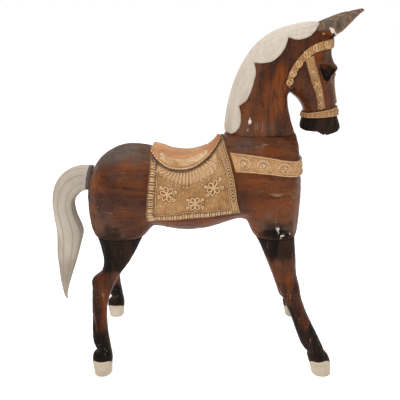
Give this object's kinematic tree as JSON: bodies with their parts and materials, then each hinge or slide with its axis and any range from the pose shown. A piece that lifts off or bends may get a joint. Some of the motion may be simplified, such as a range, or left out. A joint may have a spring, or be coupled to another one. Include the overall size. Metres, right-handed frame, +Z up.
{
  "type": "carved wooden horse",
  "caption": "Free-standing carved wooden horse with pegged legs, neck, head, ears and plug-in tail, dressed with saddle, blanket, breast band and bridle.",
  "frame": {"origin": "on the floor, at the centre of the base of the horse's bounding box", "axes": "+X towards the head, +Y towards the horse's left side, +Z up"},
  "size_m": [0.5857, 0.2296, 0.7059],
  "materials": {
    "brown_wood": "stained and waxed, semi-gloss, worn",
    "whitewash": "matt whitewash over carved wood",
    "gold_paste": "moulded paste, old gold paint, satin",
    "seat_paint": "golden-brown paint, satin",
    "pale_paste": "pale tan paste dots, matt",
    "black_paint": "black paint, satin",
    "plain_wood": "bare turned dowel"
  },
  "bodies": {
    "horse": {"barrel": "brown_wood", "neck": "brown_wood", "head": "brown_wood", "mane": "whitewash", "ear_right": "brown_wood", "ear_left": "brown_wood", "leg_front_right": "brown_wood", "leg_front_left": "brown_wood", "leg_rear_right": "brown_wood", "leg_rear_left": "brown_wood", "hoof_front_right": "whitewash", "hoof_front_left": "whitewash", "hoof_rear_right": "whitewash", "hoof_rear_left": "whitewash", "leg_dowels": "plain_wood", "neck_dowels": "plain_wood", "head_dowel": "plain_wood", "ear_pegs": "plain_wood", "tail_collar": "black_paint", "saddle_seat": "seat_paint", "seat_rim_right": "pale_paste", "seat_rim_left": "pale_paste", "seat_beads_right": "pale_paste", "seat_beads_left": "pale_paste", "blanket": "gold_paste", "blanket_border_right": "gold_paste", "blanket_border_left": "gold_paste", "fan_rays_right": "gold_paste", "fan_rays_left": "gold_paste", "rosettes_right": "gold_paste", "rosettes_left": "gold_paste", "breast_band": "gold_paste", "breast_scrolls_right": "gold_paste", "breast_scrolls_left": "gold_paste", "crown_strap": "gold_paste", "crown_studs_right": "gold_paste", "crown_studs_left": "gold_paste", "cheek_strap_right": "gold_paste", "cheek_strap_left": "gold_paste", "face_strap": "gold_paste", "noseband": "gold_paste", "eye_right": "black_paint", "eye_left": "black_paint"},
    "tail": {"tail": "whitewash", "tail_peg": "plain_wood"}
  },
  "joints": [
    {"name": "tail_pull", "type": "slide", "parent": "horse", "child": "tail", "axis": [-0.9781, 0, 0.2079], "range_m": [0, 0.055]}
  ]
}
